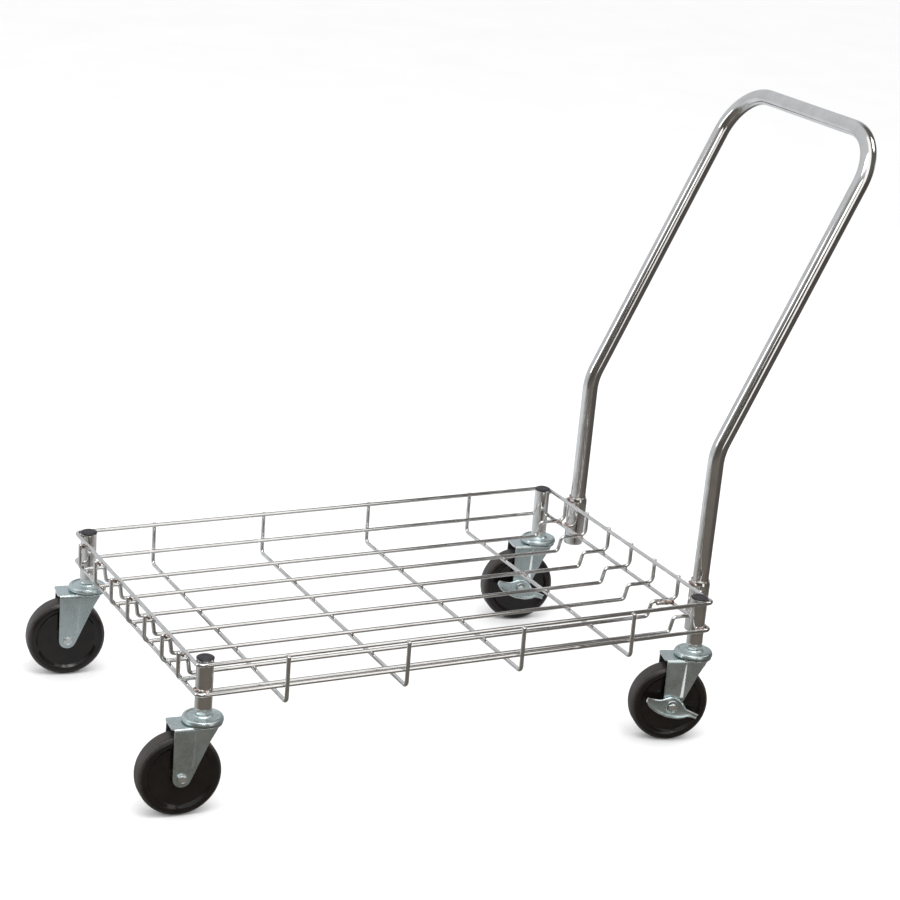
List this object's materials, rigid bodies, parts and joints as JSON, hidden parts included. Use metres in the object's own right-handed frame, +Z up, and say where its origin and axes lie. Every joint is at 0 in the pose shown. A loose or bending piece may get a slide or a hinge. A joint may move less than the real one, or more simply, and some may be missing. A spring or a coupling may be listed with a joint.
{
  "type": "laundry cart",
  "caption": "Low chromed wire platform cart on swivel casters, with a bent tube push handle and foot brakes at the handle end.",
  "frame": {"origin": "on the floor, under the middle of the bounding box", "axes": "+X towards the push handle (the rear), -Y to the left as seen by the person pushing, +Z up"},
  "size_m": [1.2084, 0.5877, 0.9526],
  "materials": {
    "chrome": "bright chrome plate with brownish heat marks at the welds",
    "zinc_plate": "bright zinc plate with a bluish tint",
    "plain_steel": "plain greased steel",
    "black_plastic": "satin moulded plastic",
    "black_rubber": "hard moulded rubber, satin"
  },
  "bodies": {
    "frame": {"top_rim": "chrome", "lower_ring": "chrome", "cross_wire_1": "chrome", "cross_wire_2": "chrome", "cross_wire_3": "chrome", "cross_wire_4": "chrome", "deck_wire_1": "chrome", "deck_wire_2": "chrome", "deck_wire_3": "chrome", "deck_wire_4": "chrome", "deck_wire_5": "chrome", "deck_wire_6": "chrome", "deck_wire_7": "chrome", "post_front_left": "chrome", "post_front_right": "chrome", "post_rear_left": "chrome", "post_rear_right": "chrome", "post_cap_front_left": "black_plastic", "post_cap_front_right": "black_plastic", "post_cap_rear_left": "black_plastic", "post_cap_rear_right": "black_plastic", "handle_socket_left": "chrome", "handle_socket_right": "chrome", "handle": "chrome", "caster_stem_front_left": "zinc_plate", "caster_stem_front_right": "zinc_plate", "caster_stem_rear_left": "zinc_plate", "caster_stem_rear_right": "zinc_plate", "swivel_cap_front_left": "zinc_plate", "swivel_cap_front_right": "zinc_plate", "swivel_cap_rear_left": "zinc_plate", "swivel_cap_rear_right": "zinc_plate"},
    "caster_front_left": {"ball_ring_front_left": "plain_steel", "fork_front_left": "zinc_plate", "axle_bolt_front_left": "zinc_plate", "axle_nut_front_left": "zinc_plate", "bushing_front_left": "plain_steel"},
    "wheel_front_left": {"wheel_front_left": "black_rubber"},
    "caster_front_right": {"ball_ring_front_right": "plain_steel", "fork_front_right": "zinc_plate", "axle_bolt_front_right": "zinc_plate", "axle_nut_front_right": "zinc_plate", "bushing_front_right": "plain_steel"},
    "wheel_front_right": {"wheel_front_right": "black_rubber"},
    "caster_rear_left": {"ball_ring_rear_left": "plain_steel", "fork_rear_left": "zinc_plate", "axle_bolt_rear_left": "zinc_plate", "axle_nut_rear_left": "zinc_plate", "bushing_rear_left": "plain_steel", "brake_washer_rear_left": "plain_steel"},
    "wheel_rear_left": {"wheel_rear_left": "black_rubber"},
    "brake_rear_left": {"brake_lever_rear_left": "zinc_plate"},
    "caster_rear_right": {"ball_ring_rear_right": "plain_steel", "fork_rear_right": "zinc_plate", "axle_bolt_rear_right": "zinc_plate", "axle_nut_rear_right": "zinc_plate", "bushing_rear_right": "plain_steel", "brake_washer_rear_right": "plain_steel"},
    "wheel_rear_right": {"wheel_rear_right": "black_rubber"},
    "brake_rear_right": {"brake_lever_rear_right": "zinc_plate"}
  },
  "joints": [
    {"name": "swivel_front_left", "type": "hinge", "parent": "frame", "child": "caster_front_left", "pos_m": [-0.50839, -0.25683, 0.139], "axis": [0, 0, 1], "continuous": true},
    {"name": "roll_front_left", "type": "hinge", "parent": "caster_front_left", "child": "wheel_front_left", "pos_m": [-0.54178, -0.25414, 0.062], "axis": [0.0802, 0.9968, 0], "continuous": true},
    {"name": "swivel_front_right", "type": "hinge", "parent": "frame", "child": "caster_front_right", "pos_m": [-0.50839, 0.25683, 0.139], "axis": [0, 0, 1], "continuous": true},
    {"name": "roll_front_right", "type": "hinge", "parent": "caster_front_right", "child": "wheel_front_right", "pos_m": [-0.54155, 0.2616, 0.062], "axis": [0.1426, 0.9898, 0], "continuous": true},
    {"name": "swivel_rear_left", "type": "hinge", "parent": "frame", "child": "caster_rear_left", "pos_m": [0.30926, -0.25683, 0.139], "axis": [0, 0, 1], "continuous": true},
    {"name": "roll_rear_left", "type": "hinge", "parent": "caster_rear_left", "child": "wheel_rear_left", "pos_m": [0.27695, -0.24799, 0.062], "axis": [0.2639, 0.9646, 0], "continuous": true},
    {"name": "brake_rear_left", "type": "hinge", "parent": "caster_rear_left", "child": "brake_rear_left", "pos_m": [0.27695, -0.24799, 0.062], "axis": [-0.2639, -0.9646, 0], "range_deg": [0, 40]},
    {"name": "swivel_rear_right", "type": "hinge", "parent": "frame", "child": "caster_rear_right", "pos_m": [0.30926, 0.25683, 0.139], "axis": [0, 0, 1], "continuous": true},
    {"name": "roll_rear_right", "type": "hinge", "parent": "caster_rear_right", "child": "wheel_rear_right", "pos_m": [0.27627, 0.26264, 0.062], "axis": [0.1736, 0.9848, 0], "continuous": true},
    {"name": "brake_rear_right", "type": "hinge", "parent": "caster_rear_right", "child": "brake_rear_right", "pos_m": [0.27627, 0.26264, 0.062], "axis": [-0.1736, -0.9848, 0], "range_deg": [0, 40]}
  ]
}
